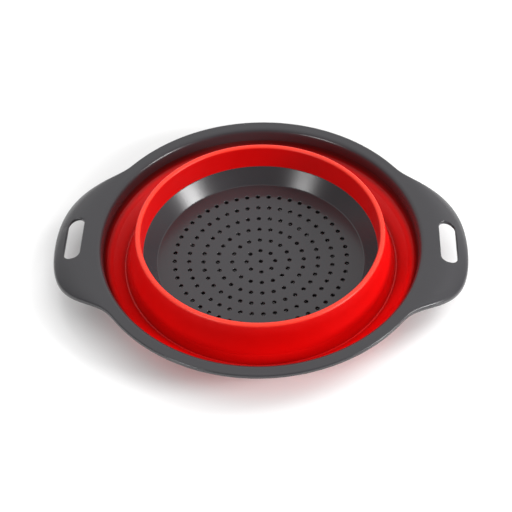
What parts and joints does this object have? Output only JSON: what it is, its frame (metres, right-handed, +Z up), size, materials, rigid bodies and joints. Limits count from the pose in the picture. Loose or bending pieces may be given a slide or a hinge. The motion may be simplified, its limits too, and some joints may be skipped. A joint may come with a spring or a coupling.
{
  "type": "collapsible colander",
  "caption": "Round collapsible kitchen colander, folded flat, with a slotted-handle hard rim, a soft folding wall and a perforated base that stands on a foot ring.",
  "frame": {"origin": "middle of the footprint, on the surface the foot ring stands on", "axes": "+X through the right handle, +Z up out of the bowl, along which the rim rises"},
  "size_m": [0.2854, 0.237, 0.0379],
  "materials": {
    "hard_plastic": "satin moulded polypropylene",
    "soft_wall": "satin moulded thermoplastic rubber"
  },
  "bodies": {
    "base": {"base_floor": "hard_plastic", "base_wall": "hard_plastic", "foot_ring": "hard_plastic", "wall_inner_band": "soft_wall", "crest_hinge": "soft_wall"},
    "middle_1": {"wall_middle_ring_1": "soft_wall"},
    "middle_2": {"wall_middle_ring_2": "soft_wall"},
    "middle_3": {"wall_middle_ring_3": "soft_wall"},
    "middle_4": {"wall_middle_ring_4": "soft_wall"},
    "rim": {"valley_hinge": "soft_wall", "wall_outer_band": "soft_wall", "rim_ring": "hard_plastic", "handle_left": "hard_plastic", "handle_right": "hard_plastic"}
  },
  "joints": [
    {"name": "rim_rise", "type": "slide", "parent": "base", "child": "rim", "axis": [0, 0, 1], "range_m": [0, 0.0592]},
    {"name": "middle_rise_1", "type": "slide", "parent": "base", "child": "middle_1", "axis": [0, 0, 1], "range_m": [0, 0.0074]},
    {"name": "middle_rise_2", "type": "slide", "parent": "base", "child": "middle_2", "axis": [0, 0, 1], "range_m": [0, 0.0222]},
    {"name": "middle_rise_3", "type": "slide", "parent": "base", "child": "middle_3", "axis": [0, 0, 1], "range_m": [0, 0.037]},
    {"name": "middle_rise_4", "type": "slide", "parent": "base", "child": "middle_4", "axis": [0, 0, 1], "range_m": [0, 0.0518]}
  ],
  "couplings": [
    {"joint": "middle_rise_1", "follows": "rim_rise", "ratio": 0.125},
    {"joint": "middle_rise_2", "follows": "rim_rise", "ratio": 0.375},
    {"joint": "middle_rise_3", "follows": "rim_rise", "ratio": 0.625},
    {"joint": "middle_rise_4", "follows": "rim_rise", "ratio": 0.875}
  ]
}
